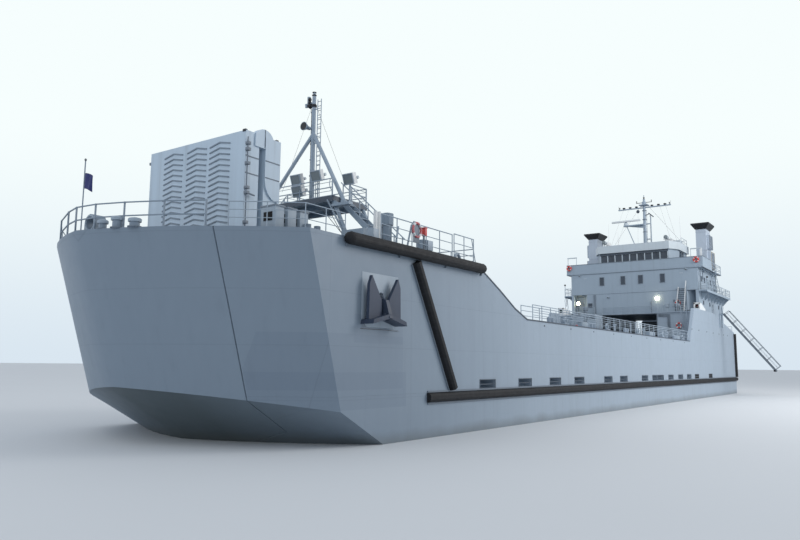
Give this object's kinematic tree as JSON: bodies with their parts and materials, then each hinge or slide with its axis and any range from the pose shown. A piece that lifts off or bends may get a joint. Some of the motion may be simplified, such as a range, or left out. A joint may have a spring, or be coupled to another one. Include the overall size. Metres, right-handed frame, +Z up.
{
  "type": "1:10 scale model of a military landing craft",
  "caption": "Scale model of a ramp-ended landing craft with a bow visor, open cargo deck, stern ramp, aft deckhouse and masts.",
  "frame": {"origin": "on the flat bottom, on the centre line, at half the hull's length", "axes": "+X towards the bow, +Y to port, +Z up"},
  "size_m": [9.573, 2.6019, 3.02],
  "materials": {
    "hull_paint": "satin",
    "house_paint": "satin",
    "deck_paint": "matte",
    "rubber": "matte",
    "black_paint": "satin",
    "bronze": "polished",
    "white_paint": "satin",
    "flag_cloth": "matte"
  },
  "bodies": {
    "hull": {"hull_body": "hull_paint", "bow_ramp": "deck_paint", "bow_ramp_flap": "house_paint", "forecastle_port": "hull_paint", "forecastle_starboard": "hull_paint", "side_wall_port": "hull_paint", "side_wall_starboard": "hull_paint", "stern_casing_port": "hull_paint", "stern_casing_starboard": "hull_paint", "stack_port": "house_paint", "stack_starboard": "house_paint", "stack_cap_port": "black_paint", "stack_cap_starboard": "black_paint", "rub_rail_port": "rubber", "rub_rail_starboard": "rubber", "upper_fender_port": "rubber", "upper_fender_starboard": "rubber", "diagonal_fender_port": "rubber", "diagonal_fender_starboard": "rubber", "stern_fender_port": "rubber", "stern_fender_starboard": "rubber", "anchor_port": "black_paint", "anchor_starboard": "black_paint", "wall_rail_port": "house_paint", "wall_rail_starboard": "house_paint", "forecastle_rail_port": "house_paint", "forecastle_rail_starboard": "house_paint", "walkway_port": "house_paint", "walkway_starboard": "house_paint", "mast_stairs_port": "house_paint", "mast_stairs_starboard": "house_paint", "windlass_port": "house_paint", "windlass_starboard": "house_paint", "deckhouse": "house_paint", "bridge_deck": "house_paint", "wheelhouse": "house_paint", "wheelhouse_roof": "house_paint", "main_mast": "house_paint", "fore_mast": "house_paint", "fore_platform": "house_paint", "ladder_platform": "house_paint"},
    "visor": {"bow_visor": "hull_paint", "jack_flag": "flag_cloth"},
    "stern_gate": {"stern_ramp": "house_paint"},
    "screw_port": {"propeller_port": "bronze"},
    "screw_starboard": {"propeller_starboard": "bronze"},
    "rudder_left": {"rudder_port": "hull_paint"},
    "rudder_right": {"rudder_starboard": "hull_paint"},
    "radar": {"radar_scanner": "white_paint"},
    "ladder": {"accommodation_ladder": "white_paint"}
  },
  "joints": [
    {"name": "visor_hinge", "type": "hinge", "parent": "hull", "child": "visor", "pos_m": [3.615, 0, 1.2], "axis": [0, -1, 0], "range_deg": [0, 85]},
    {"name": "stern_ramp_hinge", "type": "hinge", "parent": "hull", "child": "stern_gate", "pos_m": [-4.779, 0, 0.444], "axis": [0, -1, 0], "range_deg": [0, 100]},
    {"name": "propeller_port_turn", "type": "hinge", "parent": "hull", "child": "screw_port", "pos_m": [-4.455, 0.47, 0.13], "axis": [1, 0, 0], "continuous": true},
    {"name": "propeller_starboard_turn", "type": "hinge", "parent": "hull", "child": "screw_starboard", "pos_m": [-4.455, -0.47, 0.13], "axis": [1, 0, 0], "continuous": true},
    {"name": "rudder_port_steer", "type": "hinge", "parent": "hull", "child": "rudder_left", "pos_m": [-4.62, 0.47, 0.13], "axis": [0, 0, 1], "range_deg": [-35, 35]},
    {"name": "rudder_starboard_steer", "type": "hinge", "parent": "hull", "child": "rudder_right", "pos_m": [-4.62, -0.47, 0.13], "axis": [0, 0, 1], "range_deg": [-35, 35]},
    {"name": "radar_turn", "type": "hinge", "parent": "hull", "child": "radar", "pos_m": [-3.696, -0.255, 2.655], "axis": [0, 0, 1], "continuous": true},
    {"name": "ladder_hinge", "type": "hinge", "parent": "hull", "child": "ladder", "pos_m": [-3.88, 0.9582, 1.28414], "axis": [1, 0, 0], "range_deg": [-20, 55]}
  ],
  "couplings": [
    {"joint": "rudder_starboard_steer", "follows": "rudder_port_steer", "ratio": 1}
  ]
}
